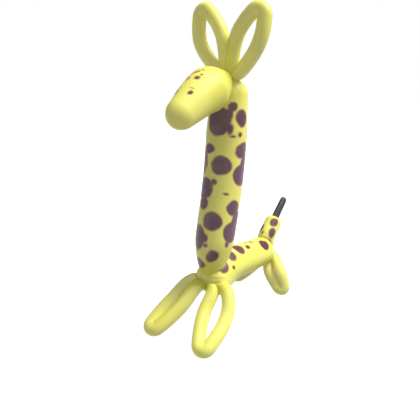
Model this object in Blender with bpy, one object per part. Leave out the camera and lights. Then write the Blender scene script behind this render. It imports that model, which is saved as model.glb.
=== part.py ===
"""Balloon giraffe: four modelling balloons twisted together, standing on the folded ends of its leg loops.

The giraffe faces -Y and its left side is +X. All sizes are metres. The origin is on the floor under the
middle of the whole giraffe. Bends are written from the twist that they belong to.
"""

import bisect
import math

import bmesh
import bpy
from mathutils import Matrix, Quaternion, Vector
from mathutils.geometry import interpolate_bezier

# The chest twist, where the neck, the body and the front legs meet.
CHEST = Vector((0.0, -0.0730, 0.0668))

# The other twists and the bends of the spotted balloon, in its middle plane: (y, z) from the chest twist.
HEAD_TWIST = (0.0470, 0.3020)
RUMP_TWIST = (0.1700, 0.0000)
NECK_BENDS = ((0.0105, 0.0500), (0.0320, 0.1560), (0.0415, 0.2460))
HEAD_BENDS = ((-0.0141, 0.2840), (-0.0648, 0.2582))
NOSE_TIP = (-0.0806, 0.2503)
BODY_BENDS = ((0.0300, 0.0045), (0.0610, 0.0090), (0.1100, 0.0045))
TAIL_BENDS = ((0.1725, 0.0225), (0.1875, 0.0375))
TAIL_END = (0.2035, 0.0515)
TIP_START = (0.1960, 0.0450)
TIP_BENDS = ((0.2180, 0.0660),)
TIP_END = (0.2370, 0.0820)

# Radii of its bubbles where they are full, at even places from the first end to the last.
NECK_RADII = (0.0280, 0.0290, 0.0255)
HEAD_RADII = (0.0325, 0.0325, 0.0255, 0.0175)
BODY_RADII = (0.0290, 0.0270, 0.0250)
TAIL_RADII = (0.0145, 0.0145)
TIP_RADII = (0.0062, 0.0062)
TWIST_RADIUS = 0.0035
KNOB_RADIUS = 0.0046

# How far each bubble takes to close at its two ends, and how blunt the closing is: 2 is an ellipse.
NECK_ENDS = ((0.060, 1.6), (0.022, 2.1))
HEAD_ENDS = ((0.056, 1.4), (0.018, 2.0))
BODY_ENDS = ((0.020, 2.1), (0.016, 2.2))
TAIL_ENDS = ((0.018, 1.8), (0.012, 2.0))
TIP_ENDS = ((0.004, 2.0), (0.005, 2.0))

# The left loop of each pair, as (x, y, z) from its twist: the bends of its outer and of its inner strand.
EAR_OUTER = ((0.0215, 0.0000, 0.0125), (0.0490, -0.0030, 0.0480), (0.0548, 0.0015, 0.0895))
EAR_INNER = ((0.0035, -0.0020, 0.0140), (0.0129, -0.0015, 0.0600), (0.0405, 0.0005, 0.0965))
FRONT_OUTER = ((0.0300, -0.0050, -0.0050), (0.0500, -0.0290, -0.0296), (0.0540, -0.0815, -0.0580))
FRONT_INNER = ((0.0080, -0.0110, -0.0100), (0.0190, -0.0420, -0.0300), (0.0410, -0.0840, -0.0580))
HIND_OUTER = ((0.0200, 0.0000, -0.0130), (0.0405, -0.0150, -0.0290), (0.0530, -0.0190, -0.0580))
HIND_INNER = ((0.0070, 0.0030, -0.0150), (0.0175, -0.0140, -0.0340), (0.0425, -0.0220, -0.0580))

STRAND_RADII = (0.0102, 0.0102)
STRAND_ENDS = ((0.020, 2.0), (0.008, 2.0))
FOLD_RADII = (0.0098, 0.0098)
FOLD_ENDS = ((0.0098, 2.0), (0.0098, 2.0))
FOLD_OVERHANG = 0.0085
COLLAR_RADIUS = 0.0080

# The gap between two balloons, and the floor block that presses the feet flat.
GAP = 0.0004
FLOOR_SIZE = 0.5

# Fineness: sides round a tube, rings along it, and the steps that measure a route.
BUBBLE_SIDES = 24
BUBBLE_RINGS = 13
TAIL_SIDES = 14
TAIL_RINGS = 9
STRAND_SIDES = 10
STRAND_RINGS = 11
FOLD_RINGS = 6
BALL_SEGMENTS = 14
FINE_STEPS = 24

# The latex.
SPOTTED_YELLOW = (0.93, 0.88, 0.10)
PLAIN_YELLOW = (0.95, 0.91, 0.13)
LATEX_ROUGHNESS = 0.22


def clear_scene():
    """Remove whatever the file opened with."""
    for thing in list(bpy.data.objects):
        bpy.data.objects.remove(thing, do_unlink=True)


def latex(name, colour):
    """A glossy yellow latex of one colour."""
    material = bpy.data.materials.new(name)
    material.use_nodes = True
    shader = material.node_tree.nodes["Principled BSDF"]
    shader.inputs["Base Color"].default_value = (*colour, 1.0)
    shader.inputs["Roughness"].default_value = LATEX_ROUGHNESS
    shader.inputs["Metallic"].default_value = 0.0
    return material


def middle(pairs):
    """Places in the giraffe's middle plane from (y, z) pairs measured from the chest twist."""
    return [CHEST + Vector((0.0, y, z)) for y, z in pairs]


def smooth_route(bends, count):
    """A curve through every bend, as points that crowd towards its two ends."""
    fine = []
    for index in range(len(bends) - 1):
        here, there = bends[index], bends[index + 1]
        before = bends[max(index - 1, 0)]
        beyond = bends[min(index + 2, len(bends) - 1)]
        reach = (there - here).length / 3.0
        leave = here + (there - before).normalized() * reach
        arrive = there - (beyond - here).normalized() * reach
        fine += interpolate_bezier(here, leave, arrive, there, FINE_STEPS)[:-1]
    fine.append(bends[-1])
    along = distances(fine)
    route = []
    for step in range(count):
        wanted = along[-1] * (1.0 - math.cos(math.pi * step / (count - 1))) / 2.0
        index = min(bisect.bisect_right(along, wanted), len(fine) - 1)
        share = (wanted - along[index - 1]) / (along[index] - along[index - 1])
        route.append(fine[index - 1].lerp(fine[index], share))
    return route


def distances(route):
    """How far along the route each of its points is."""
    along = [0.0]
    for here, there in zip(route, route[1:]):
        along.append(along[-1] + (there - here).length)
    return along


def closing(distance, reach, bluntness):
    """Share of the full radius at a distance from a closed end: 0 at the end, 1 beyond its reach."""
    left = 1.0 - max(0.0, min(distance / reach, 1.0))
    return (1.0 - left**bluntness) ** (1.0 / bluntness)


def full_radius(share, radii):
    """The radius between those given at even places along a bubble."""
    place = share * (len(radii) - 1)
    index = min(int(place), len(radii) - 2)
    return radii[index] + (radii[index + 1] - radii[index]) * (place - index)


def tube(name, route, radii, sides):
    """A closed round tube along the route, with one radius for each of its points."""
    shape = bmesh.new()
    rings = []
    heading = Vector((0.0, 0.0, 1.0))
    turn = Quaternion()
    for index, place in enumerate(route):
        ahead = (route[min(index + 1, len(route) - 1)] - route[max(index - 1, 0)]).normalized()
        turn = heading.rotation_difference(ahead) @ turn
        heading = ahead
        matrix = Matrix.Translation(place) @ turn.to_matrix().to_4x4()
        circle = bmesh.ops.create_circle(shape, segments=sides, radius=radii[index], matrix=matrix)
        rings.append(circle["verts"])
    for here, there in zip(rings, rings[1:]):
        for corner in range(sides):
            shape.faces.new((here[corner - 1], here[corner], there[corner], there[corner - 1]))
    shape.faces.new(rings[0])
    shape.faces.new(rings[-1])
    bmesh.ops.recalc_face_normals(shape, faces=shape.faces)
    mesh = bpy.data.meshes.new(name)
    shape.to_mesh(mesh)
    shape.free()
    solid = bpy.data.objects.new(name, mesh)
    bpy.context.collection.objects.link(solid)
    return solid


def bubble(name, bends, radii, ends, fineness=(BUBBLE_RINGS, BUBBLE_SIDES), grow=0.0):
    """One inflated bubble between two ends: full in between, closing round towards each end."""
    rings, sides = fineness
    route = smooth_route(bends, rings)
    along = distances(route)
    total = along[-1]
    girths = []
    for distance in along:
        shut = closing(distance, *ends[0]) * closing(total - distance, *ends[1])
        full = full_radius(distance / total, radii)
        girths.append(TWIST_RADIUS + (full - TWIST_RADIUS) * shut + grow)
    return tube(name, route, girths, sides)


def ball(name, place, radius):
    """A small round lump of twisted latex."""
    shape = bmesh.new()
    bmesh.ops.create_uvsphere(
        shape,
        u_segments=BALL_SEGMENTS,
        v_segments=BALL_SEGMENTS // 2,
        radius=radius,
        matrix=Matrix.Translation(place),
    )
    mesh = bpy.data.meshes.new(name)
    shape.to_mesh(mesh)
    shape.free()
    lump = bpy.data.objects.new(name, mesh)
    bpy.context.collection.objects.link(lump)
    return lump


def combine(solid, operation, helpers):
    """Join helpers to a solid, or cut them out of it, one after another."""
    for helper in helpers:
        helper.hide_render = True
        helper.display_type = "WIRE"
        boolean = solid.modifiers.new(helper.name, "BOOLEAN")
        boolean.operation = operation
        boolean.object = helper


def neck(name, grow=0.0):
    """The long bubble from the chest up to the head."""
    bends = middle([(0.0, 0.0), *NECK_BENDS, HEAD_TWIST])
    return bubble(f"{name}_neck", bends, NECK_RADII, NECK_ENDS, grow=grow)


def head(name, grow=0.0):
    """The pear-shaped bubble of the head, from its twist down to the nose."""
    bends = middle([HEAD_TWIST, *HEAD_BENDS, NOSE_TIP])
    return bubble(f"{name}_head", bends, HEAD_RADII, HEAD_ENDS, grow=grow)


def body(name, grow=0.0):
    """The bubble of the body, from the chest to the rump."""
    bends = middle([(0.0, 0.0), *BODY_BENDS, RUMP_TWIST])
    return bubble(f"{name}_body", bends, BODY_RADII, BODY_ENDS, grow=grow)


def tail(name, grow=0.0):
    """The small bubble of the tail."""
    bends = middle([RUMP_TWIST, *TAIL_BENDS, TAIL_END])
    return bubble(f"{name}_tail", bends, TAIL_RADII, TAIL_ENDS, (TAIL_RINGS, TAIL_SIDES), grow)


def tail_tip(name):
    """The end of the balloon that holds no air, rooted in the round end of the tail."""
    bends = middle([TIP_START, *TIP_BENDS, TIP_END])
    return bubble(f"{name}_tip", bends, TIP_RADII, TIP_ENDS, (TAIL_RINGS, TAIL_SIDES))


def spotted_balloon():
    """The long balloon of the head, neck, body and tail, narrowed at its three twists."""
    name = "spotted_balloon"
    places = middle([(0.0, 0.0), HEAD_TWIST, RUMP_TWIST])
    twists = [ball(f"{name}_twist", place, KNOB_RADIUS) for place in places]
    solid = neck(name)
    solid.name = name
    combine(solid, "UNION", [head(name), body(name), tail(name), tail_tip(name), *twists])
    return solid


def strand(name, twist, bends, side):
    """One strand of a loop, from the twist out to its round far end."""
    places = [twist] + [twist + Vector((x * side, y, z)) for x, y, z in bends]
    return bubble(name, places, STRAND_RADII, STRAND_ENDS, (STRAND_RINGS, STRAND_SIDES))


def fold(name, twist, outer_end, inner_end, side):
    """The short bend that joins the far ends of a loop's two strands."""
    ends = [twist + Vector((x * side, y, z)) for x, y, z in (outer_end, inner_end)]
    beyond = (ends[1] - ends[0]).normalized() * FOLD_OVERHANG
    places = [ends[0] - beyond, ends[1] + beyond]
    return bubble(name, places, FOLD_RADII, FOLD_ENDS, (FOLD_RINGS, STRAND_SIDES))


def looped_pair(name, twist, outer, inner, neighbours):
    """A balloon of two loops, twisted round one waist of the spotted balloon and clear of its bubbles."""
    pieces = []
    for label, side in (("left", 1.0), ("right", -1.0)):
        pieces.append(strand(f"{name}_{label}_outer", twist, outer, side))
        pieces.append(strand(f"{name}_{label}_inner", twist, inner, side))
        pieces.append(fold(f"{name}_{label}_fold", twist, outer[-1], inner[-1], side))
    solid = ball(name, twist, COLLAR_RADIUS)
    combine(solid, "UNION", pieces)
    cutters = [neighbour(f"{name}_clearance", GAP) for neighbour in neighbours]
    combine(solid, "DIFFERENCE", [*cutters, ball(f"{name}_waist", twist, KNOB_RADIUS + GAP)])
    return solid


def floor_block():
    """The floor, which presses the feet flat."""
    shape = bmesh.new()
    bmesh.ops.create_cube(shape, size=FLOOR_SIZE, matrix=Matrix.Translation((0.0, 0.0, -FLOOR_SIZE / 2.0)))
    mesh = bpy.data.meshes.new("floor")
    shape.to_mesh(mesh)
    shape.free()
    block = bpy.data.objects.new("floor", mesh)
    bpy.context.collection.objects.link(block)
    return block


def build():
    """Build the four balloons and stand them on the floor."""
    clear_scene()
    chest_twist, head_twist, rump_twist = middle([(0.0, 0.0), HEAD_TWIST, RUMP_TWIST])
    spotted = spotted_balloon()
    ears = looped_pair("ears_balloon", head_twist, EAR_OUTER, EAR_INNER, (head, neck))
    front = looped_pair("front_legs_balloon", chest_twist, FRONT_OUTER, FRONT_INNER, (neck, body))
    hind = looped_pair("hind_legs_balloon", rump_twist, HIND_OUTER, HIND_INNER, (body, tail))
    ground = floor_block()
    for legs in (front, hind):
        combine(legs, "DIFFERENCE", [ground])
    printed_latex = latex("printed_latex", SPOTTED_YELLOW)
    plain_latex = latex("plain_latex", PLAIN_YELLOW)
    for balloon in (spotted, ears, front, hind):
        balloon.data.materials.append(printed_latex if balloon is spotted else plain_latex)
        balloon.data.shade_smooth()


build()
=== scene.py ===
"""The looks of a balloon giraffe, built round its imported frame.

Four modelling balloons are twisted together: a long spotted one for the head, neck, body and tail, and three
plain ones for the ears, the front legs and the hind legs. The giraffe faces -Y, its left side is +X, and all
sizes are metres. Each bubble is blown along its own route by Geometry Nodes, then pressed against the bubbles
that it touches and against the floor.
"""

import logging
import math
from dataclasses import dataclass, field, replace
from enum import Enum

import bpy
import numpy as np
from bpy.types import Material, Mesh, Node, NodeInputs, NodeOutputs, NodeSocket, NodeTree, Object
from mathutils import Matrix, Vector


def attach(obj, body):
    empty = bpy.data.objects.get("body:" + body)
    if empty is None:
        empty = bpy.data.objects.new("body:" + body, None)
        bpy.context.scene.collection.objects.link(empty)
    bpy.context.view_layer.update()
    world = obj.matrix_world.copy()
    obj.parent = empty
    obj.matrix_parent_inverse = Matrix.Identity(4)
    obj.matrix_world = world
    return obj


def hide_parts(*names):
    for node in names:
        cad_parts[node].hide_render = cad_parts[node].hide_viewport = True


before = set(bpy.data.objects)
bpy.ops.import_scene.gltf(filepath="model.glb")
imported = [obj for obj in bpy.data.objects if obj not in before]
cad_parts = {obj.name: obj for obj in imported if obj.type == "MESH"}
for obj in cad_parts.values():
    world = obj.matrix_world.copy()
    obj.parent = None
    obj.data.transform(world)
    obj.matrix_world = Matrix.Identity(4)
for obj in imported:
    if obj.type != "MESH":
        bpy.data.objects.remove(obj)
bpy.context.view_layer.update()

BODY = "root"
LOG = logging.getLogger("balloon_giraffe")

Flat = tuple[float, float]
Point = tuple[float, float, float]
Colour = tuple[float, float, float]
Array = np.ndarray

# The chest twist, where the neck, the body and the front legs meet. Other places are measured from it.
CHEST: Point = (0.0, -0.0730, 0.0668)


class Slot(Enum):
    """The record's material slots."""

    PRINTED = "printed_latex"
    PLAIN = "plain_latex"


class Side(Enum):
    """The giraffe's left and right, as signs of X."""

    LEFT = 1.0
    RIGHT = -1.0


def linked(name: str, data: bpy.types.ID) -> Object:
    """Put a new object in the scene.

    Args:
        name: Its name.
        data: Its mesh, light or camera.

    Returns:
        The object.
    """
    made = bpy.data.objects.new(name, data)
    bpy.context.scene.collection.objects.link(made)
    return made


# ---------- Node trees ----------


@dataclass(frozen=True)
class Noise:
    """A noise over the skin.

    Attributes:
        scale: Its scale.
        detail: Its detail.
        change: How much it changes.
    """

    scale: float
    detail: float
    change: float


class Bench:
    """Puts nodes in a tree and wires them with plain calls."""

    def __init__(self, tree: NodeTree) -> None:
        """Work on one tree."""
        self.tree = tree

    def feed(self, sockets: NodeInputs, values: dict) -> None:
        """Link sockets to outputs, or give them plain values.

        Args:
            sockets: The input sockets.
            values: Output sockets or values, by the input's name or number.
        """
        for key, value in values.items():
            if isinstance(value, NodeSocket):
                self.tree.links.new(value, sockets[key])
            else:
                sockets[key].default_value = value

    def node(self, kind: str, inputs: dict | None = None, **settings: object) -> Node:
        """Add a node.

        Args:
            kind: The node's type.
            inputs: Output sockets or values, by the input's name or number.
            settings: The node's own properties.

        Returns:
            The new node.
        """
        made = self.tree.nodes.new(kind)
        for name, value in settings.items():
            setattr(made, name, value)
        self.feed(made.inputs, inputs or {})
        return made

    def maths(self, operation: str, *values: object, clamp: bool = False) -> NodeSocket:
        """Add a Math node and return its result."""
        made = self.node("ShaderNodeMath", dict(enumerate(values)), operation=operation, use_clamp=clamp)
        return made.outputs[0]

    def vectors(self, operation: str, *values: object) -> NodeSocket:
        """Add a Vector Math node and return its result, where a scale is its fourth input."""
        inputs = dict(zip((0, 3) if operation == "SCALE" else (0, 1), values))
        return self.node("ShaderNodeVectorMath", inputs, operation=operation).outputs["Vector"]

    def noise(self, place: NodeSocket, noise: Noise) -> NodeOutputs:
        """Add a Noise Texture node and return its outputs."""
        inputs = {"Vector": place, "Scale": noise.scale, "Detail": noise.detail}
        return self.node("ShaderNodeTexNoise", inputs).outputs

    def ramp(self, value: NodeSocket, low: float, high: float) -> NodeSocket:
        """Add a smooth ramp, 0 at the low value and 1 at the high one."""
        ends = {"Value": value, "From Min": low, "From Max": high}
        return self.node("ShaderNodeMapRange", ends, interpolation_type="SMOOTHSTEP").outputs[0]

    def mix(self, share: NodeSocket, first: object, second: object) -> NodeSocket:
        """Add a Mix node, whose colours are its inputs 6 and 7, and return its result."""
        return self.node("ShaderNodeMix", {0: share, 6: first, 7: second}, data_type="RGBA").outputs[2]


class BlowTree:
    """Geometry Nodes that blow a round tube along a route, closed at each end, with pleats at its twists."""

    # The numbers that a bubble gives: those of the whole bubble, and those of each of its ends.
    NUMBERS = ("Waist", "Pleat Count", "Pleat Length", "Spiral", "Flatness", "Wobble", "Seed")
    ENDS = ("Start", "End")
    END_NUMBERS = ("Reach", "Bluntness", "Pleats")
    # How many waves bend the pleats round the tube, how far they bend them, and how sharp a pleat is.
    PLEAT_WAVES = 3.0
    PLEAT_SHIFT = 1.7
    PLEAT_SHARPNESS = 1.6
    # The scale and detail of the lumps in the skin, and how far from the middle line they are read.
    LUMP_SCALE = 26.0
    LUMP_DETAIL = 1.0
    LUMP_PLACE = 0.03
    # The share of the grid's length that is a pole, and how close points are that become one.
    POLE = 0.0001
    MERGE = 1e-7

    def __init__(self) -> None:
        """Make the tree and its named inputs."""
        self.tree = bpy.data.node_groups.new("blow_a_bubble", "GeometryNodeTree")
        face = self.tree.interface
        kinds = {"Geometry": "Geometry", "Rings": "Int", "Sides": "Int", "Side Direction": "Vector"}
        kinds |= {name: "Float" for name in self.NUMBERS}
        kinds |= {f"{end} {name}": "Float" for end in self.ENDS for name in self.END_NUMBERS}
        kinds["Material"] = "Material"
        for name, kind in kinds.items():
            face.new_socket(name, in_out="INPUT", socket_type=f"NodeSocket{kind}")
        face.new_socket("Geometry", in_out="OUTPUT", socket_type="NodeSocketGeometry")
        self.identifiers = {item.name: item.identifier for item in face.items_tree if item.in_out == "INPUT"}
        self.bench = Bench(self.tree)
        self.given = self.bench.node("NodeGroupInput").outputs
        self._wire()

    def _closing(self, distance: NodeSocket, end: str) -> NodeSocket:
        """Share of the full radius at a distance from one end.

        Args:
            distance: How far the point is from the end.
            end: One of the two ends.

        Returns:
            A socket that is 0 at the end and 1 beyond the closing's reach.
        """
        maths, blunt = self.bench.maths, self.given[f"{end} Bluntness"]
        share = maths("DIVIDE", distance, self.given[f"{end} Reach"], clamp=True)
        left = maths("POWER", maths("SUBTRACT", 1.0, share), blunt)
        return maths("POWER", maths("SUBTRACT", 1.0, left, clamp=True), maths("DIVIDE", 1.0, blunt))

    def _pleats(self, angle: NodeSocket, distance: NodeSocket, end: str) -> NodeSocket:
        """How much the pleats of one end draw the skin in.

        Args:
            angle: The angle round the tube.
            distance: How far the point is from the end.
            end: One of the two ends.

        Returns:
            A socket with the share of the radius that is lost.
        """
        maths, given = self.bench.maths, self.given
        length = maths("MULTIPLY", given["Pleat Length"], -1.0)
        fade = maths("EXPONENT", maths("DIVIDE", distance, length))
        turned = maths("MULTIPLY_ADD", fade, given["Spiral"], angle)
        uneven = maths("SINE", maths("MULTIPLY_ADD", turned, self.PLEAT_WAVES, given["Seed"]))
        uneven = maths("MULTIPLY", uneven, self.PLEAT_SHIFT)
        phase = maths("MULTIPLY_ADD", turned, given["Pleat Count"], uneven)
        wave = maths("MULTIPLY_ADD", maths("COSINE", phase), 0.5, 0.5)
        sharp = maths("POWER", wave, self.PLEAT_SHARPNESS)
        return maths("MULTIPLY", maths("MULTIPLY", sharp, fade), given[f"{end} Pleats"])

    def _outward(self, sample: NodeOutputs, angle: NodeSocket) -> NodeSocket:
        """The direction from the middle line to each point of the skin.

        Args:
            sample: What was read from the route.
            angle: The angle round the tube.

        Returns:
            A vector socket.
        """
        maths, vectors, given = self.bench.maths, self.bench.vectors, self.given
        ahead = vectors("NORMALIZE", sample["Tangent"])
        up = vectors("NORMALIZE", vectors("CROSS_PRODUCT", given["Side Direction"], ahead))
        sideways = vectors("CROSS_PRODUCT", ahead, up)
        upward = vectors("SCALE", up, maths("COSINE", angle))
        across = maths("MULTIPLY", maths("SINE", angle), given["Flatness"])
        return vectors("ADD", upward, vectors("SCALE", sideways, across))

    def _wire(self) -> None:
        """Wire the tree."""
        bench, given = self.bench, self.given
        maths, vectors, node = bench.maths, bench.vectors, bench.node
        route = node("GeometryNodeMeshToCurve", {"Mesh": given["Geometry"]}).outputs["Curve"]
        counts = {"Vertices X": given["Rings"], "Vertices Y": maths("ADD", given["Sides"], 1.0)}
        grid = node("GeometryNodeMeshGrid", counts).outputs
        sheet = node("ShaderNodeSeparateXYZ", {0: grid["UV Map"]}).outputs
        step, turn = sheet[0], sheet[1]
        share = maths("MULTIPLY_ADD", maths("COSINE", maths("MULTIPLY", step, math.pi)), -0.5, 0.5)
        girth = node("GeometryNodeInputNamedAttribute", {"Name": "girth"}, data_type="FLOAT").outputs
        line = {"Curves": route, "Value": girth["Attribute"], "Factor": share}
        sample = node("GeometryNodeSampleCurve", line, mode="FACTOR", use_all_curves=True).outputs
        total = node("GeometryNodeCurveLength", {"Curve": route}).outputs["Length"]
        along = maths("MULTIPLY", share, total)
        left = maths("SUBTRACT", total, along)
        shut = maths("MULTIPLY", self._closing(along, "Start"), self._closing(left, "End"))
        angle = maths("MULTIPLY_ADD", turn, math.tau, -math.pi)
        drawn = maths("ADD", self._pleats(angle, along, "Start"), self._pleats(angle, left, "End"))
        spread = maths("SUBTRACT", sample["Value"], given["Waist"])
        radius = maths("MULTIPLY_ADD", spread, shut, given["Waist"])
        radius = maths("MULTIPLY", radius, maths("SUBTRACT", 1.0, drawn))
        first, last = maths("GREATER_THAN", step, self.POLE), maths("LESS_THAN", step, 1.0 - self.POLE)
        radius = maths("MULTIPLY", radius, maths("MULTIPLY", first, last))
        outward = self._outward(sample, angle)
        place = vectors("ADD", sample["Position"], vectors("SCALE", outward, self.LUMP_PLACE))
        inputs = {"Vector": place, "W": given["Seed"], "Scale": self.LUMP_SCALE, "Detail": self.LUMP_DETAIL}
        noise = node("ShaderNodeTexNoise", inputs, noise_dimensions="4D").outputs[0]
        uneven = maths("MULTIPLY", maths("SUBTRACT", noise, 0.5), given["Wobble"])
        radius = maths("MULTIPLY", radius, maths("MULTIPLY_ADD", uneven, shut, 1.0))
        place = vectors("ADD", sample["Position"], vectors("SCALE", outward, radius))

        skin = grid["Mesh"]
        for name, kind, domain, value in (
            ("Print", "FLOAT2", "CORNER", node("ShaderNodeCombineXYZ", {0: turn, 1: along}).outputs[0]),
            ("spine", "FLOAT_VECTOR", "POINT", sample["Position"]),
            ("stretch", "FLOAT", "POINT", shut),
        ):
            inputs = {"Geometry": skin, "Name": name, "Value": value}
            stored = node("GeometryNodeStoreNamedAttribute", inputs, data_type=kind, domain=domain)
            skin = stored.outputs["Geometry"]
        for kind, inputs in (
            ("SetPosition", {"Position": place}),
            ("MergeByDistance", {"Distance": self.MERGE}),
            ("FlipFaces", {}),
            ("SetShadeSmooth", {}),
            ("RealizeInstances", {}),
            ("SetMaterial", {"Material": given["Material"]}),
        ):
            skin = node(f"GeometryNode{kind}", {0: skin, **inputs}).outputs[0]
        node("NodeGroupOutput", {0: skin})


# ---------- Routes and bubbles ----------


def from_chest(places: tuple[Point, ...] | Array) -> Array:
    """Places in the row frame, one row each, from places measured from the chest twist."""
    return np.array(CHEST) + np.asarray(places, float)


def middle(pairs: tuple[Flat, ...]) -> Array:
    """Places in the middle plane, one row each, from (y, z) pairs measured from the chest twist."""
    return from_chest(tuple((0.0, y, z) for y, z in pairs))


def unit(vector: Array) -> Array:
    """The vector's direction, one metre long."""
    return vector / np.linalg.norm(vector)


def distances(route: Array) -> Array:
    """How far along the route each of its points is."""
    return np.concatenate([[0.0], np.cumsum(np.linalg.norm(np.diff(route, axis=0), axis=1))])


def evened(route: Array, count: int) -> Array:
    """The same route with its points at even distances.

    Args:
        route: The route's points.
        count: How many points to return.

    Returns:
        The new points.
    """
    along = distances(route)
    wanted = np.linspace(0.0, along[-1], count)
    return np.stack([np.interp(wanted, along, route[:, axis]) for axis in range(3)], axis=1)


def smooth_route(bends: Array, count: int, rounds: int, steps_each: int = 32) -> Array:
    """An even route through every bend.

    Args:
        bends: The places that it passes through, one row each.
        count: How many points the route gets.
        rounds: How often its corners are eased.
        steps_each: How finely the curve between two bends is drawn.

    Returns:
        The route's points.
    """
    steps = np.linspace(0.0, 1.0, steps_each + 1)[:-1, None]
    rest = 1.0 - steps
    fine = []
    for index in range(len(bends) - 1):
        here, there = bends[index], bends[index + 1]
        before, beyond = bends[max(index - 1, 0)], bends[min(index + 2, len(bends) - 1)]
        reach = np.linalg.norm(there - here) / 3.0
        leave, arrive = here + unit(there - before) * reach, there - unit(beyond - here) * reach
        curve = rest**3 * here + 3 * rest**2 * steps * leave + 3 * rest * steps**2 * arrive + steps**3 * there
        fine.append(curve)
    fine.append(bends[-1:])
    route = evened(np.concatenate(fine), count)
    for _ in range(rounds):
        route[1:-1] = (route[:-2] + 2.0 * route[1:-1] + route[2:]) / 4.0
    return route


@dataclass(frozen=True)
class Closing:
    """How a bubble closes at one end.

    Attributes:
        reach: How far from the end the bubble is full.
        bluntness: 2 is an ellipse, less is more pointed.
        pleats: Depth of the pleats at the twist, as a share of the radius.
    """

    reach: float
    bluntness: float
    pleats: float = 0.10

    def share(self, distance: Array) -> Array:
        """Share of the full radius at each distance from the end."""
        left = 1.0 - np.clip(distance / self.reach, 0.0, 1.0)
        return (1.0 - left**self.bluntness) ** (1.0 / self.bluntness)


@dataclass
class Bubble:
    """One inflated length of balloon.

    Attributes:
        name: Its name.
        bends: The places that its middle line passes through.
        radii: Its full radii at even places from the first end to the last.
        start: How it closes at its first end.
        end: How it closes at its last end.
        side: A direction across its route; the print's angles turn from the route's upper side towards it.
        rings: Rings along it.
        sides: Sides round it.
        waist: Its radius in a twist.
        pleat_count: Pleats round a twist.
        pleat_length: How fast the pleats fade.
        spiral: How far the twist winds the pleats.
        flatness: Its width across over its height.
        wobble: How uneven its skin is.
        seed: What makes its pleats its own.
        firm: Whether other bubbles yield to it wholly.
        looped: Whether it is folded back to its own first twist.
        pressure: How hard it pushes against a neighbour's pressure of 1.
        route: The points of its middle line.
        full: Its full radius at each of them.
        girth: Its radius at each of them, with its ends closed.
        mesh: Its skin, once it is blown.
    """

    name: str
    bends: Array
    radii: tuple[float, ...]
    start: Closing
    end: Closing
    side: Point = (1.0, 0.0, 0.0)
    rings: int = 130
    sides: int = 108
    waist: float = 0.0035
    pleat_count: float = 17.0
    pleat_length: float = 0.009
    spiral: float = 1.3
    flatness: float = 1.0
    wobble: float = 0.02
    seed: float = 0.0
    firm: bool = False
    looped: bool = False
    pressure: float = 1.0
    route: Array = field(init=False)
    full: Array = field(init=False)
    girth: Array = field(init=False)
    mesh: Mesh | None = field(init=False, default=None)

    ROUTE_POINTS = 181
    EASING = 6

    def __post_init__(self) -> None:
        """Work out the route and the radius at each of its points."""
        self.route = smooth_route(self.bends, self.ROUTE_POINTS, self.EASING)
        along = distances(self.route)
        self.full = np.interp(along / along[-1], np.linspace(0.0, 1.0, len(self.radii)), self.radii)
        shut = self.start.share(along) * self.end.share(along[-1] - along)
        self.girth = self.waist + (self.full - self.waist) * shut

    def inputs(self, material: Material) -> dict[str, object]:
        """The values that this bubble gives the tree.

        Args:
            material: What it is dressed in.

        Returns:
            Values by input name.
        """
        values = {"Rings": self.rings, "Sides": self.sides, "Side Direction": self.side, "Material": material}
        for name in BlowTree.NUMBERS:
            values[name] = getattr(self, name.lower().replace(" ", "_"))
        for end, closing in zip(BlowTree.ENDS, (self.start, self.end)):
            for name in BlowTree.END_NUMBERS:
                values[f"{end} {name}"] = getattr(closing, name.lower())
        return values

    def blow(self, tree: BlowTree, material: Material) -> None:
        """Blow the bubble up along its route and keep its plain mesh.

        Args:
            tree: The Geometry Nodes that do it.
            material: What it is dressed in.
        """
        line = bpy.data.meshes.new(f"{self.name}_route")
        count = len(self.route)
        line.from_pydata([tuple(place) for place in self.route], [(i, i + 1) for i in range(count - 1)], [])
        line.attributes.new("girth", "FLOAT", "POINT").data.foreach_set("value", self.full.astype(np.float32))
        holder = linked(self.name, line)
        modifier = holder.modifiers.new("blow", "NODES")
        modifier.node_group = tree.tree
        for name, value in self.inputs(material).items():
            modifier[tree.identifiers[name]] = value
        graph = bpy.context.evaluated_depsgraph_get()
        self.mesh = bpy.data.meshes.new_from_object(
            holder.evaluated_get(graph), preserve_all_data_layers=True, depsgraph=graph
        )
        holder.modifiers.remove(modifier)
        bpy.data.objects.remove(holder)
        bpy.data.meshes.remove(line)


# ---------- Bubbles pressed together ----------


@dataclass
class Skin:
    """Points of a bubble's skin, each on its own line out from the middle of the tube.

    Attributes:
        spine: The middle of the tube at each point.
        reach: From there to the point's full place.
        place: How far along the bubble's route each point's middle is, for a looped bubble alone.
    """

    spine: Array
    reach: Array
    place: Array | None = None

    def at(self, share: Array | float) -> Array:
        """Each point at a share of its way out."""
        return self.spine + self.reach * np.reshape(share, (-1, 1))

    def some(self, chosen: Array) -> "Skin":
        """Some of the points."""
        return Skin(self.spine[chosen], self.reach[chosen])


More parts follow.
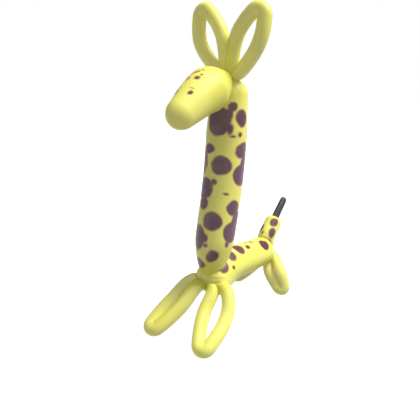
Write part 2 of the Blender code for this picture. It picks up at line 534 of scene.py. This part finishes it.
class Press:
    """Presses touching bubbles flat against each other, against their own folds and on the floor.

    Every point of a skin slides along its own line to the middle of its tube, until it is no deeper in a
    neighbour than it is in its own tube, so that two equal bubbles meet in a flat face between them.
    """

    # The gap between two skins, the floor's height, and a number that is next to nothing.
    GAP = 0.00025
    FLOOR = 0.0
    TINY = 1e-9
    # How softly a contact face ends, and the share of its way at which a point is free of every contact.
    EDGE = 0.10
    FREE = 1.0 + EDGE
    # How near a neighbour counts, in its radii, and how often each contact is halved to find it.
    NEAR = 1.35
    ROUNDS = 16
    # How far a bend's inner side may go, how many radii of a fold are left out, and how long its bands are.
    BEND_SHARE = 0.97
    FOLD_SPAN = 1.45
    BAND = 0.004
    # How many points are measured at a time, and what counts as pressed in the log.
    BLOCK = 4000
    PRESSED = 0.995

    def __init__(self, bubbles: list[Bubble]) -> None:
        """Take the bubbles that may touch, already blown."""
        self.bubbles = bubbles

    def _nearest(self, points: Array, route: Array, girth: Array) -> tuple[Array, Array]:
        """Distance from each point to a route, and the tube's radius there.

        Args:
            points: The points.
            route: The route's points.
            girth: The radius at each of them.

        Returns:
            The distances and the radii.
        """
        away = np.empty(len(points))
        wide = np.empty(len(points))
        starts, steps = route[:-1], np.diff(route, axis=0)
        squares = np.einsum("ij,ij->i", steps, steps)
        for first in range(0, len(points), self.BLOCK):
            block = points[first : first + self.BLOCK]
            gaps = ((block[:, None, :] - route[None, :, :]) ** 2).sum(2)
            best = np.argmin(gaps, axis=1)
            nearest, radius = np.sqrt(gaps[np.arange(len(block)), best]), girth[best]
            for shift in (-1, 0):
                leg = np.clip(best + shift, 0, len(steps) - 1)
                share = np.einsum("ij,ij->i", block - starts[leg], steps[leg]) / squares[leg]
                share = np.clip(share, 0.0, 1.0)
                foot = starts[leg] + steps[leg] * share[:, None]
                distance = np.linalg.norm(block - foot, axis=1)
                closer = distance < nearest
                nearest = np.where(closer, distance, nearest)
                radius = np.where(closer, girth[leg] + (girth[leg + 1] - girth[leg]) * share, radius)
            away[first : first + self.BLOCK], wide[first : first + self.BLOCK] = nearest, radius
        return away, wide

    def _limit(self, skin: Skin, other: Bubble, push: float = 1.0, part: slice = slice(None)) -> Array:
        """How far each point may go out before a neighbour stops it, as a share of its way.

        Args:
            skin: The points.
            other: The neighbour, which claims no more than its full radius needs.
            push: How much harder the neighbour pushes.
            part: The part of the neighbour's route that counts.

        Returns:
            A share from 0 to 1 for each point, or more where it is free.
        """
        route, girth = other.route[part], other.girth[part]
        limit = np.full(len(skin.spine), self.FREE)
        away, wide = self._nearest(skin.at(self.FREE), route, girth)
        close = np.flatnonzero(away < wide * self.NEAR + 2.0 * self.GAP)
        if not len(close):
            return limit
        near, low, high = skin.some(close), np.zeros(len(close)), np.full(len(close), self.FREE)
        share = high
        for _ in range(self.ROUNDS + 1):
            away, wide = self._nearest(near.at(share), route, girth)
            claim = 1.0 if other.firm else np.minimum(share * push, np.maximum(share, 1.0))
            clear = away - self.GAP / 2.0 >= claim * wide
            low, high = np.where(clear, share, low), np.where(clear, high, share)
            share = (low + high) / 2.0
        limit[close] = low
        return limit

    def _bend_limit(self, bubble: Bubble, skin: Skin) -> Array:
        """How far each point may go before it passes the middle of a tight bend.

        Args:
            bubble: The bubble that the points belong to.
            skin: The points.

        Returns:
            A share from 0 to 1 for each point, or more where it is free.
        """
        along = distances(bubble.route)
        step = along[-1] / (len(along) - 1)
        turning = np.zeros_like(bubble.route)
        turning[2:-2] = (bubble.route[4:] - 2.0 * bubble.route[2:-2] + bubble.route[:-4]) / (2.0 * step) ** 2
        pull = np.stack([np.interp(skin.place, along, turning[:, axis]) for axis in range(3)], axis=1)
        inward = np.einsum("ij,ij->i", skin.reach, pull)
        return np.minimum(self.FREE, self.BEND_SHARE / np.maximum(inward, self.TINY))

    def _fold_limit(self, bubble: Bubble, skin: Skin) -> Array:
        """How far each point may go before it meets the other strand of its own loop.

        Args:
            bubble: The looped bubble that the points belong to.
            skin: The points.

        Returns:
            A share from 0 to 1 for each point, or more where it is free.
        """
        limit = np.full(len(skin.spine), self.FREE)
        along = distances(bubble.route)
        span = self.FOLD_SPAN * max(bubble.radii)
        half = along[-1] / 2.0
        for first, chosen in ((True, skin.place <= half), (False, skin.place > half)):
            index = np.flatnonzero(chosen)
            depth = skin.place[index] if first else along[-1] - skin.place[index]
            for low in np.arange(0.0, half + self.TINY, self.BAND):
                band = index[(depth >= low) & (depth < low + self.BAND)]
                if not len(band):
                    continue
                beyond, before = max(half, low + span), min(half, along[-1] - low - span)
                kept = np.flatnonzero(along >= beyond if first else along <= before)
                if len(kept) > 2:
                    limit[band] = self._limit(skin.some(band), bubble, part=slice(kept[0], kept[-1] + 1))
        return limit

    def _softer(self, share: Array, limit: Array) -> Array:
        """The smaller of two shares for each point, with the edge between them eased."""
        blend = np.clip(0.5 + 0.5 * (limit - share) / self.EDGE, 0.0, 1.0)
        return np.maximum(limit + (share - limit) * blend - self.EDGE * blend * (1.0 - blend), 0.0)

    def _read(self, bubble: Bubble) -> Skin:
        """The points of a blown bubble's skin.

        Args:
            bubble: The bubble.

        Returns:
            Its points.
        """
        count = len(bubble.mesh.vertices)
        place, spine = np.zeros(count * 3, np.float32), np.zeros(count * 3, np.float32)
        bubble.mesh.vertices.foreach_get("co", place)
        bubble.mesh.attributes["spine"].data.foreach_get("vector", spine)
        spine = spine.reshape(-1, 3).astype(float)
        skin = Skin(spine, place.reshape(-1, 3) - spine)
        if bubble.looped:
            unique, back = np.unique(np.round(spine, 7), axis=0, return_inverse=True)
            gaps = ((unique[:, None, :] - bubble.route[None, :, :]) ** 2).sum(2)
            skin.place = distances(bubble.route)[np.argmin(gaps, axis=1)][back.ravel()]
        return skin

    def press(self) -> None:
        """Press every bubble that isn't firm against its neighbours, and all of them on the floor."""
        for bubble in self.bubbles:
            mesh, skin = bubble.mesh, self._read(bubble)
            share = np.ones(len(skin.spine))
            if not bubble.firm:
                for other in self.bubbles:
                    if other is not bubble:
                        limit = self._limit(skin, other, other.pressure / bubble.pressure)
                        share = self._softer(share, limit)
                if bubble.looped:
                    limit = np.minimum(self._fold_limit(bubble, skin), self._bend_limit(bubble, skin))
                    share = self._softer(share, limit)
            down = skin.reach[:, 2]
            landing = (self.FLOOR - skin.spine[:, 2]) / np.minimum(down, -self.TINY)
            share = np.minimum(share, np.where(down < 0.0, landing, 1.0))
            mesh.vertices.foreach_set("co", skin.at(share).astype(np.float32).ravel())
            mesh.attributes.remove(mesh.attributes["spine"])
            mesh.update()
            LOG.info("%s: %d points, %d pressed", bubble.name, len(share), int((share < self.PRESSED).sum()))


# ---------- Finishes ----------


@dataclass(frozen=True)
class Mark:
    """One printed blotch.

    Attributes:
        angle: Degrees round the bubble from its upper or front side, towards the giraffe's left.
        along: Metres along the bubble from its first twist.
        width: Half its width, in degrees.
        height: Half its height along the bubble, in metres.
        tilt: Degrees that it leans.
    """

    angle: float
    along: float
    width: float
    height: float
    tilt: float = 0.0


@dataclass(frozen=True)
class Print:
    """What is printed on one bubble.

    Attributes:
        marks: The blotches.
        radius: The bubble's radius, which turns their degrees into metres.
        left: 1 where the bubble's angles grow towards the giraffe's left, and -1 where they don't.
    """

    marks: tuple[Mark, ...]
    radius: float
    left: float = 1.0


class MarkGroup:
    """A node group that tells how far a point of the skin lies outside one printed blotch."""

    INPUTS = ("X", "Y", "Round", "Centre X", "Centre Y", "Width", "Height", "Cosine", "Sine", "Depth")

    def __init__(self) -> None:
        """Build the group."""
        self.tree = bpy.data.node_groups.new("printed_mark", "ShaderNodeTree")
        for name in self.INPUTS:
            self.tree.interface.new_socket(name, in_out="INPUT", socket_type="NodeSocketFloat")
        self.tree.interface.new_socket("Outside", in_out="OUTPUT", socket_type="NodeSocketFloat")
        bench = Bench(self.tree)
        maths, given = bench.maths, bench.node("NodeGroupInput").outputs
        half = maths("MULTIPLY", given["Round"], 0.5)
        across = maths("SUBTRACT", given["X"], given["Centre X"])
        across = maths("WRAP", across, half, maths("MULTIPLY", half, -1.0))
        along = maths("SUBTRACT", given["Y"], given["Centre Y"])
        first = maths("MULTIPLY_ADD", across, given["Cosine"], maths("MULTIPLY", along, given["Sine"]))
        second = maths("MULTIPLY", along, given["Cosine"])
        second = maths("SUBTRACT", second, maths("MULTIPLY", across, given["Sine"]))
        first = maths("POWER", maths("ABSOLUTE", maths("DIVIDE", first, given["Width"])), 2.0)
        second = maths("POWER", maths("ABSOLUTE", maths("DIVIDE", second, given["Height"])), 2.0)
        away = maths("SUBTRACT", maths("SQRT", maths("ADD", first, second)), 1.0)
        bench.node("NodeGroupOutput", {0: maths("MULTIPLY", away, given["Depth"])})


@dataclass(frozen=True)
class Latex:
    """Inflated latex: a thin glossy see-through skin, deeper in colour where a twist leaves it thick.

    Attributes:
        name: The material's name.
        thin: Its colour where it is blown up.
        thick: Its colour at the twists.
        see_through: Its alpha.
        roughness: How dull its gloss is.
        coat: How much clear gloss lies on it.
        edge: The printed ink's colour along its edges.
        ink: The printed ink's colour.
    """

    name: str
    thin: Colour = (0.93, 0.89, 0.16)
    thick: Colour = (0.80, 0.72, 0.05)
    see_through: float = 0.85
    roughness: float = 0.38
    coat: float = 0.07
    edge: Colour = (0.27, 0.040, 0.065)
    ink: Colour = (0.110, 0.030, 0.064)

    GLOSS = {"Coat Roughness": 0.18, "IOR": 1.5, "Specular IOR Level": 0.30}
    # What the skin's dull places, cloudy colour and fine grain, and the ink's ragged edges, are drawn by.
    DULLING = Noise(70.0, 3.0, 0.16)
    CLOUDS = Noise(34.0, 3.0, 0.35)
    GRAIN = Noise(1400.0, 2.0, 0.06)
    RAGGED = Noise(62.0, 2.5, 0.0052)
    # How much roughness the smoothest skin loses, the grain's height, and how fast the deep colour fades.
    SMOOTHER = 0.05
    GRAIN_HEIGHT = 0.0002
    THINNING = 1.4
    # The ink's soft edge, where its colour is full, the thinnest blotch and how softly two of them join.
    SOFTNESS = 0.0018
    CORE = 0.0030
    THINNEST = SOFTNESS * 1.2
    JOINING = 0.003

    def material(self, printed: Print | None = None, group: MarkGroup | None = None) -> Material:
        """Make the material.

        Args:
            printed: What is printed on it.
            group: The node group that draws a blotch.

        Returns:
            The new material.
        """
        made = bpy.data.materials.new(self.name)
        made.use_nodes = True
        bench = Bench(made.node_tree)
        place = bench.node("ShaderNodeTexCoord").outputs["Object"]
        colour = self._skin_colour(bench, place)
        if printed:
            colour = self._printed(bench, place, colour, printed, group)
        dull, least = bench.noise(place, self.DULLING)[0], self.roughness - self.SMOOTHER
        grain = bench.noise(place, self.GRAIN)[0]
        bump = {"Strength": self.GRAIN.change, "Distance": self.GRAIN_HEIGHT, "Height": grain}
        values = {
            "Base Color": colour,
            "Roughness": bench.maths("MULTIPLY_ADD", dull, self.DULLING.change, least),
            "Normal": bench.node("ShaderNodeBump", bump).outputs[0],
            "Alpha": self.see_through,
            "Coat Weight": self.coat,
        }
        bench.feed(made.node_tree.nodes["Principled BSDF"].inputs, values | self.GLOSS)
        return made

    def _skin_colour(self, bench: Bench, place: NodeSocket) -> NodeSocket:
        """The colour of the bare latex.

        Args:
            bench: The material's nodes.
            place: Object coordinates.

        Returns:
            A colour socket.
        """
        stretch = bench.node("ShaderNodeAttribute", attribute_name="stretch").outputs["Fac"]
        cloud = bench.maths("SUBTRACT", bench.noise(place, self.CLOUDS)[0], 0.5)
        slack = bench.maths("POWER", bench.maths("SUBTRACT", 1.0, stretch, clamp=True), self.THINNING)
        slack = bench.maths("ADD", slack, bench.maths("MULTIPLY", cloud, self.CLOUDS.change), clamp=True)
        return bench.mix(slack, (*self.thin, 1.0), (*self.thick, 1.0))

    def _printed(
        self, bench: Bench, place: NodeSocket, bare: NodeSocket, printed: Print, group: MarkGroup
    ) -> NodeSocket:
        """The colour of the latex with ink on it.

        Args:
            bench: The material's nodes.
            place: Object coordinates.
            bare: The bare latex's colour.
            printed: What is printed on it.
            group: The node group that draws a blotch.

        Returns:
            A colour socket.
        """
        maths, round_length = bench.maths, math.tau * printed.radius
        sheet = bench.node("ShaderNodeUVMap", uv_map="Print").outputs[0]
        sheet = bench.node("ShaderNodeSeparateXYZ", {0: sheet}).outputs
        ragged = bench.node("ShaderNodeSeparateXYZ", {0: bench.noise(place, self.RAGGED)["Color"]}).outputs
        shifts = [maths("MULTIPLY", maths("SUBTRACT", part, 0.5), self.RAGGED.change) for part in ragged[:2]]
        across = maths("MULTIPLY_ADD", sheet[0], round_length, shifts[0])
        along = maths("ADD", sheet[1], shifts[1])
        outside = None
        for mark in printed.marks:
            lean = math.radians(mark.tilt * printed.left)
            width = math.radians(mark.width) * printed.radius
            inputs = {
                "X": across,
                "Y": along,
                "Round": round_length,
                "Centre X": (0.5 + printed.left * mark.angle / 360.0) * round_length,
                "Centre Y": mark.along,
                "Width": width,
                "Height": mark.height,
                "Cosine": math.cos(lean),
                "Sine": math.sin(lean),
                "Depth": max(min(width, mark.height), self.THINNEST),
            }
            far = bench.node("ShaderNodeGroup", inputs, node_tree=group.tree).outputs[0]
            outside = far if outside is None else maths("SMOOTH_MIN", outside, far, self.JOINING)
        ink = bench.ramp(outside, self.SOFTNESS, -self.SOFTNESS)
        dye = bench.mix(bench.ramp(outside, 0.0, -self.CORE), (*self.edge, 1.0), (*self.ink, 1.0))
        return bench.mix(ink, bare, dye)


# ---------- The balloons ----------


@dataclass(frozen=True)
class SpottedBalloon:
    """The long printed balloon: head, neck, body and tail, and the end that holds no air.

    Places are (y, z) pairs from the chest twist. The bends of the first four bubbles lie between the places
    that they start and end at, and body_start is in front of the twist that the body is pressed against.
    """

    name: str = "spotted_balloon"
    head_twist: Flat = (0.0470, 0.3020)
    rump_twist: Flat = (0.1700, 0.0000)
    body_start: Flat = (-0.0100, -0.0040)
    nose_tip: Flat = (-0.0806, 0.2503)
    tail_end: Flat = (0.2035, 0.0515)
    neck_bends: tuple[Flat, ...] = ((0.0078, 0.0500), (0.0322, 0.1560), (0.0432, 0.2460))
    head_bends: tuple[Flat, ...] = ((-0.0141, 0.2840), (-0.0648, 0.2582))
    body_bends: tuple[Flat, ...] = ((0.0300, 0.0105), (0.0610, 0.0120), (0.1100, 0.0060))
    tail_bends: tuple[Flat, ...] = ((0.1725, 0.0225), (0.1875, 0.0375))
    tip_bends: tuple[Flat, ...] = ((0.2012, 0.0496), (0.2180, 0.0660), (0.2370, 0.0820))
    nib_bends: tuple[Flat, ...] = ((0.2360, 0.0812), (0.2373, 0.0824), (0.2386, 0.0836))
    neck_radii: tuple[float, ...] = (0.0292, 0.0298, 0.0303, 0.0301, 0.0265)
    head_radii: tuple[float, ...] = (0.0325, 0.0325, 0.0255, 0.0175)
    body_radii: tuple[float, ...] = (0.0290, 0.0270, 0.0250)
    tail_radii: tuple[float, ...] = (0.0156, 0.0150)
    tip_radii: tuple[float, ...] = (0.0080, 0.0070)
    nib_radii: tuple[float, ...] = (0.0021, 0.0019)

    def bubbles(self) -> list[Bubble]:
        """Lay out the bubbles.

        Returns:
            Neck, head, body, tail, empty end and its bare point.
        """
        neck = middle(((0.0, 0.0), *self.neck_bends, self.head_twist))
        head = middle((self.head_twist, *self.head_bends, self.nose_tip))
        body = middle((self.body_start, *self.body_bends, self.rump_twist))
        tail = middle((self.rump_twist, *self.tail_bends, self.tail_end))
        tip, nib = middle(self.tip_bends), middle(self.nib_bends)
        return [
            Bubble("neck", neck, self.neck_radii, Closing(0.070, 1.55), Closing(0.022, 2.1),
                   rings=170, seed=0.7),
            Bubble("head", head, self.head_radii, Closing(0.056, 1.27), Closing(0.018, 2.0, pleats=0.0),
                   side=(-1.0, 0.0, 0.0), seed=2.1),
            Bubble("body", body, self.body_radii, Closing(0.020, 2.2), Closing(0.016, 2.2),
                   seed=3.9, pressure=2.5),
            Bubble("tail", tail, self.tail_radii, Closing(0.016, 2.0), Closing(0.011, 2.2),
                   rings=80, sides=72, pleat_length=0.004, seed=5.2),
            Bubble("tail_tip", tip, self.tip_radii, Closing(0.004, 2.0), Closing(0.005, 2.0),
                   rings=90, sides=56, pleat_count=6.0, pleat_length=0.030, spiral=0.6, flatness=0.86,
                   wobble=0.12, seed=6.4, firm=True),
            Bubble("tail_nib", nib, self.nib_radii, Closing(0.0008, 2.0, pleats=0.0),
                   Closing(0.0016, 2.0, pleats=0.0), rings=24, sides=24, waist=0.0012, seed=7.9, firm=True),
        ]


@dataclass(frozen=True)
class Loop:
    """One loop of a plain balloon, as it is on the left side, from its twist.

    Attributes:
        outer: The bends of its outer strand.
        inner: The bends of its inner strand.
        radius: Its tube's radius.
    """

    outer: tuple[Point, ...]
    inner: tuple[Point, ...]
    radius: float = 0.0102


@dataclass(frozen=True)
class LoopedPair:
    """A plain balloon of two loops twisted round one waist of the spotted balloon.

    Attributes:
        name: The node that it stands for.
        twist: The (y, z) place of its twist from the chest twist.
        left: The left loop.
        right: The right loop, mirrored, where it isn't like the left one.
        seed: What makes its pleats its own.
    """

    name: str
    twist: Flat
    left: Loop
    right: Loop | None = None
    seed: float = 0.0

    # How far the strands stop short of the fold at the loop's end, how far the fold rises beyond them,
    # and how both strands close at the twist.
    FOLD_DEPTH = 0.0040
    FOLD_RISE = 0.0008
    CLOSING = Closing(0.020, 2.0)

    def bubbles(self) -> list[Bubble]:
        """Lay out the left loop and the right loop."""
        return [self._loop(side) for side in Side]

    def _loop(self, side: Side) -> Bubble:
        """One loop, out along its outer strand and back along its inner one.

        Args:
            side: Which side of the giraffe it is on.

        Returns:
            The loop as one bent bubble.
        """
        loop = self.right if side is Side.RIGHT and self.right else self.left
        outer, inner = np.array(loop.outer), np.array(loop.inner)
        short = []
        for strand in (outer, inner):
            short.append(strand[-1] + unit(strand[-2] - strand[-1]) * self.FOLD_DEPTH)
        top = np.stack([outer[-1], inner[-1]]).mean(axis=0)
        top = top + unit(top - np.mean(short, axis=0)) * self.FOLD_RISE
        twist = np.zeros((1, 3))
        bends = np.concatenate([twist, outer[:-1], [short[0], top, short[1]], inner[:-1][::-1], twist])
        across = unit(np.cross(outer[1] - inner[1], outer[-1]))
        mirror = np.array((side.value, 1.0, 1.0))
        return Bubble(
            f"{self.name}_{side.name.lower()}",
            from_chest((0.0, *self.twist)) + bends * mirror,
            (loop.radius,) * 2,
            self.CLOSING,
            self.CLOSING,
            side=tuple(across * mirror),
            rings=230,
            sides=56,
            pleat_count=9.0,
            pleat_length=0.0045,
            seed=self.seed + side.value,
            looped=True,
        )


EARS = LoopedPair(
    "ears_balloon",
    (0.0470, 0.3020),
    left=Loop(
        outer=((0.0215, 0.0000, 0.0125), (0.0490, -0.0030, 0.0465), (0.0548, 0.0015, 0.0858)),
        inner=((0.0035, -0.0020, 0.0140), (0.0129, -0.0015, 0.0580), (0.0400, 0.0005, 0.0910)),
    ),
    right=Loop(
        outer=((0.0215, 0.0000, 0.0125), (0.0490, -0.0030, 0.0480), (0.0548, 0.0015, 0.0895)),
        inner=((0.0035, -0.0020, 0.0140), (0.0129, -0.0015, 0.0600), (0.0405, 0.0005, 0.0965)),
    ),
    seed=1.0,
)
FRONT_LEGS = LoopedPair(
    "front_legs_balloon",
    (0.0, 0.0),
    left=Loop(
        outer=((0.0340, -0.0055, -0.0030), (0.0510, -0.0290, -0.0296), (0.0540, -0.0815, -0.0580)),
        inner=((0.0145, -0.0120, -0.0045), (0.0190, -0.0420, -0.0300), (0.0410, -0.0840, -0.0580)),
    ),
    right=Loop(
        outer=((0.0310, -0.0065, -0.0035), (0.0490, -0.0310, -0.0290), (0.0545, -0.0815, -0.0570)),
        inner=((0.0150, -0.0120, -0.0055), (0.0225, -0.0420, -0.0290), (0.0405, -0.0830, -0.0575)),
        radius=0.0110,
    ),
    seed=4.0,
)
HIND_LEGS = LoopedPair(
    "hind_legs_balloon",
    (0.1700, 0.0000),
    left=Loop(
        outer=((0.0200, 0.0000, -0.0130), (0.0405, -0.0150, -0.0290), (0.0530, -0.0190, -0.0580)),
        inner=((0.0070, 0.0030, -0.0150), (0.0175, -0.0140, -0.0340), (0.0425, -0.0220, -0.0580)),
    ),
    seed=7.0,
)


# ---------- The print ----------

NECK_MARKS = (
    Mark(8, 0.246, 38, 0.021), Mark(38, 0.256, 12, 0.010), Mark(42, 0.235, 10, 0.008),
    Mark(48, 0.267, 14, 0.007), Mark(79, 0.252, 22, 0.013), Mark(74, 0.229, 8, 0.004),
    Mark(52, 0.225, 8, 0.002), Mark(88, 0.206, 28, 0.0115, 25), Mark(-17, 0.206, 20, 0.008),
    Mark(-44, 0.186, 25, 0.021), Mark(25, 0.183, 31, 0.0145), Mark(92, 0.1700, 32, 0.0165),
    Mark(110, 0.186, 27, 0.016), Mark(-22, 0.146, 32, 0.0175), Mark(9, 0.157, 9, 0.005),
    Mark(-20, 0.122, 20, 0.010), Mark(47, 0.141, 8, 0.002), Mark(79, 0.1205, 24, 0.0125, 40),
    Mark(19, 0.098, 30, 0.014), Mark(84, 0.0850, 30, 0.0170), Mark(103, 0.1000, 26, 0.017),
    Mark(-52, 0.096, 12, 0.016), Mark(-24, 0.071, 28, 0.019), Mark(5, 0.072, 9, 0.006),
    Mark(8, 0.061, 8, 0.003), Mark(74, 0.066, 8, 0.005), Mark(33, 0.047, 22, 0.009, 25),
    Mark(-20, 0.033, 30, 0.008),
)
BODY_MARKS = (
    Mark(33, 0.0285, 27, 0.0108, -12), Mark(6, 0.027, 16, 0.004, -15), Mark(33, 0.052, 20, 0.007, -10),
    Mark(-5, 0.060, 12, 0.0035), Mark(23, 0.0755, 26, 0.0095, -8), Mark(26, 0.0985, 11, 0.007, 20),
    Mark(66, 0.042, 7, 0.003), Mark(6, 0.1235, 9, 0.0035), Mark(0, 0.109, 6, 0.0025),
    Mark(39, 0.148, 24, 0.0125),
)
BELLY_MARK = Mark(138, 0.131, 12, 0.008)
HEAD_MARKS = (
    Mark(28.5, 0.1005, 8.8, 0.0045), Mark(-28.5, 0.1005, 8.8, 0.0045), Mark(11.5, 0.076, 8.5, 0.0034),
    Mark(16, 0.069, 4, 0.0017), Mark(-8, 0.065, 6, 0.0018), Mark(-19, 0.066, 6, 0.0018),
    Mark(0, 0.064, 4, 0.0015), Mark(7, 0.060, 4, 0.0014), Mark(-28, 0.072, 6, 0.0022),
    Mark(-17, 0.0775, 6, 0.0028), Mark(22, 0.0928, 7.0, 0.0006, -10), Mark(-22, 0.0928, 7.0, 0.0006, 10),
)
TAIL_MARKS = (
    Mark(39, 0.049, 27, 0.0095), Mark(57, 0.030, 27, 0.0085), Mark(-40, 0.033, 22, 0.006),
    Mark(-9, 0.026, 8, 0.002), Mark(57, 0.017, 9, 0.004),
)


def all_round(marks: tuple[Mark, ...], *copies: Flat) -> tuple[Mark, ...]:
    """A print that goes all the way round.

    Args:
        marks: The blotches of one side.
        copies: How far round and how far along each further copy of them is shifted, in degrees and metres.

    Returns:
        The blotches of every side.
    """
    first, last = min(mark.along for mark in marks), max(mark.along for mark in marks)
    made = list(marks)
    for turn, slide in copies:
        for mark in marks:
            along = first + (mark.along - first + slide) % (last - first)
            made.append(replace(mark, angle=mark.angle + turn, along=along))
    return tuple(made)


PRINTS = {
    "neck": Print(all_round(NECK_MARKS, (180.0, 0.042)), 0.0290),
    "head": Print(HEAD_MARKS, 0.0300, left=-1.0),
    "body": Print((*all_round(BODY_MARKS, (-100.0, 0.058), (165.0, 0.025)), BELLY_MARK), 0.0270),
    "tail": Print(all_round(TAIL_MARKS, (180.0, 0.012)), 0.0150),
}


# ---------- Studio ----------


@dataclass(frozen=True)
class Lamp:
    """A soft square light.

    Attributes:
        name: Its name.
        place: Where it stands.
        size: Its side.
        power: Its power in watts.
    """

    name: str
    place: Point
    size: float
    power: float

    def hang(self, aim: Vector) -> None:
        """Put the lamp in the scene.

        Args:
            aim: The point that it is turned to.
        """
        data = bpy.data.lights.new(self.name, "AREA")
        data.size, data.energy = self.size, self.power
        lamp = linked(self.name, data)
        lamp.location = self.place
        lamp.rotation_euler = (aim - Vector(self.place)).to_track_quat("-Z", "Y").to_euler()


@dataclass(frozen=True)
class Studio:
    """A pale floor, soft light and the camera."""

    # The camera's angles round from the giraffe's front and up from level, in radians, then its distance from
    # the chest twist and how far its axis passes aside of it and above it, in neck lengths.
    azimuth: float = math.radians(36.3546)
    elevation: float = math.radians(16.7947)
    distance: float = 2.351235
    aside: float = 0.00076
    above: float = -0.371229
    neck_length: float = 0.300
    focal_share: float = 456.158 / 420.0
    sensor: float = 36.0
    clip: Flat = (0.01, 50.0)
    lamps: tuple[Lamp, ...] = (
        Lamp("key", (1.12, 0.70, 2.40), 1.3, 104.0),
        Lamp("fill", (-1.6, -2.0, 1.3), 2.2, 5.0),
    )
    lamp_aim: Point = (0.0, 0.03, 0.12)
    # The room's colour, how brightly it lights the giraffe, and how bright the room itself looks.
    white: tuple[float, ...] = (1.0, 1.0, 1.0, 1.0)
    world_light: float = 0.30
    world_seen: float = 1.0
    floor_size: float = 12.0
    floor_gap: float = 0.0006
    floor_grey: Colour = (0.55, 0.55, 0.55)
    floor_glow: float = 0.84
    floor_roughness: float = 0.9

    def build(self) -> None:
        """Set up floor, world, lamps and camera."""
        self._floor()
        self._world()
        for lamp in self.lamps:
            lamp.hang(Vector(CHEST) + Vector(self.lamp_aim))
        self._camera()
        bpy.context.scene.view_settings.view_transform = "Standard"

    def _floor(self) -> None:
        """A wide plain pale floor."""
        half = self.floor_size / 2.0
        mesh = bpy.data.meshes.new("floor")
        corners = [(-half, -half), (half, -half), (half, half), (-half, half)]
        mesh.from_pydata([(*corner, -self.floor_gap) for corner in corners], [], [(0, 1, 2, 3)])
        floor = linked("floor", mesh)
        made = bpy.data.materials.new("pale_floor")
        made.use_nodes = True
        values = {"Base Color": (*self.floor_grey, 1.0), "Roughness": self.floor_roughness}
        values |= {"Emission Color": self.white, "Emission Strength": self.floor_glow}
        Bench(made.node_tree).feed(made.node_tree.nodes["Principled BSDF"].inputs, values)
        mesh.materials.append(made)
        floor.visible_diffuse = False

    def _world(self) -> None:
        """A white room that lights the giraffe gently."""
        world = bpy.data.worlds.new("white_room")
        bpy.context.scene.world = world
        world.use_nodes = True
        bench = Bench(world.node_tree)
        seen = bench.node("ShaderNodeLightPath").outputs["Is Camera Ray"]
        strength = bench.maths("MULTIPLY_ADD", seen, self.world_seen - self.world_light, self.world_light)
        bench.feed(world.node_tree.nodes["Background"].inputs, {"Color": self.white, "Strength": strength})

    def _camera(self) -> None:
        """The camera, level and aimed at the giraffe's middle."""
        turn, tilt = self.azimuth, self.elevation
        right = Vector((math.cos(turn), math.sin(turn), 0.0))
        back = Vector((math.sin(turn) * math.cos(tilt), -math.cos(turn) * math.cos(tilt), math.sin(tilt)))
        up = back.cross(right)
        data = bpy.data.cameras.new("camera")
        data.sensor_width, data.lens = self.sensor, self.focal_share * self.sensor
        camera = linked("camera", data)
        offset = self.distance * back - self.aside * right - self.above * up
        place = Vector(CHEST) + self.neck_length * offset
        camera.matrix_world = Matrix.Translation(place) @ Matrix((right, up, back)).transposed().to_4x4()
        data.clip_start, data.clip_end = self.clip
        bpy.context.scene.camera = camera


# ---------- The whole giraffe ----------


def joined(node: str, meshes: list[Mesh], slot: Slot) -> Object:
    """Put meshes in one piece that stands for a node of the frame.

    Args:
        node: The node that it replaces.
        meshes: Its meshes, which are used up.
        slot: The record's material slot; not used.

    Returns:
        The piece, riding on its body.
    """
    parts = [linked(f"{node}_skin", mesh) for mesh in meshes]
    with bpy.context.temp_override(active_object=parts[0], selected_editable_objects=parts):
        bpy.ops.object.join()
    piece = parts[0]
    piece.name = f"{node}_skin"
    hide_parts(node)
    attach(piece, BODY)
    LOG.info("%s: %d faces, stands for %s", piece.name, len(piece.data.polygons), node)
    return piece


@dataclass(frozen=True)
class Giraffe:
    """All four balloons.

    Attributes:
        spotted: The printed balloon.
        pairs: The plain balloons.
        printed: The printed balloon's latex.
        drawn: The same on the head, where the face is drawn in a darker ink.
        plain: The plain balloons' latex.
        dark: The latex of the empty end.
    """

    spotted: SpottedBalloon = SpottedBalloon()
    pairs: tuple[LoopedPair, ...] = (EARS, FRONT_LEGS, HIND_LEGS)
    printed: Latex = Latex("printed_latex")
    drawn: Latex = Latex(
        "drawn_latex", see_through=0.80, roughness=0.46, coat=0.03, ink=(0.004, 0.003, 0.008)
    )
    plain: Latex = Latex("plain_latex", thin=(0.93, 0.89, 0.15), see_through=0.76)
    dark: Latex = Latex(
        "dark_tip", (0.030, 0.030, 0.034), (0.020, 0.020, 0.022), see_through=0.88, roughness=0.50, coat=0.08
    )

    def build(self) -> list[Object]:
        """Blow up the bubbles, press them together and join them into the four pieces.

        Returns:
            The four pieces.
        """
        tree, group = BlowTree(), MarkGroup()
        skins = {
            name: (self.drawn if name == "head" else self.printed).material(printed, group)
            for name, printed in PRINTS.items()
        }
        skins["tail_tip"] = self.dark.material()
        plain = self.plain.material()
        balloons = [(self.spotted.name, Slot.PRINTED, self.spotted.bubbles())]
        balloons += [(pair.name, Slot.PLAIN, pair.bubbles()) for pair in self.pairs]
        bubbles = [bubble for _, _, members in balloons for bubble in members]
        for bubble in bubbles:
            bubble.blow(tree, skins.get(bubble.name, plain))
        Press(bubbles).press()
        return [joined(node, [bubble.mesh for bubble in members], slot) for node, slot, members in balloons]


def main() -> None:
    """Build the giraffe and its studio."""
    logging.basicConfig(level=logging.INFO, format="%(name)s: %(message)s")
    for piece in Giraffe().build():
        LOG.info("%s is finished", piece.name)
    Studio().build()


if __name__ == "__main__":
    main()
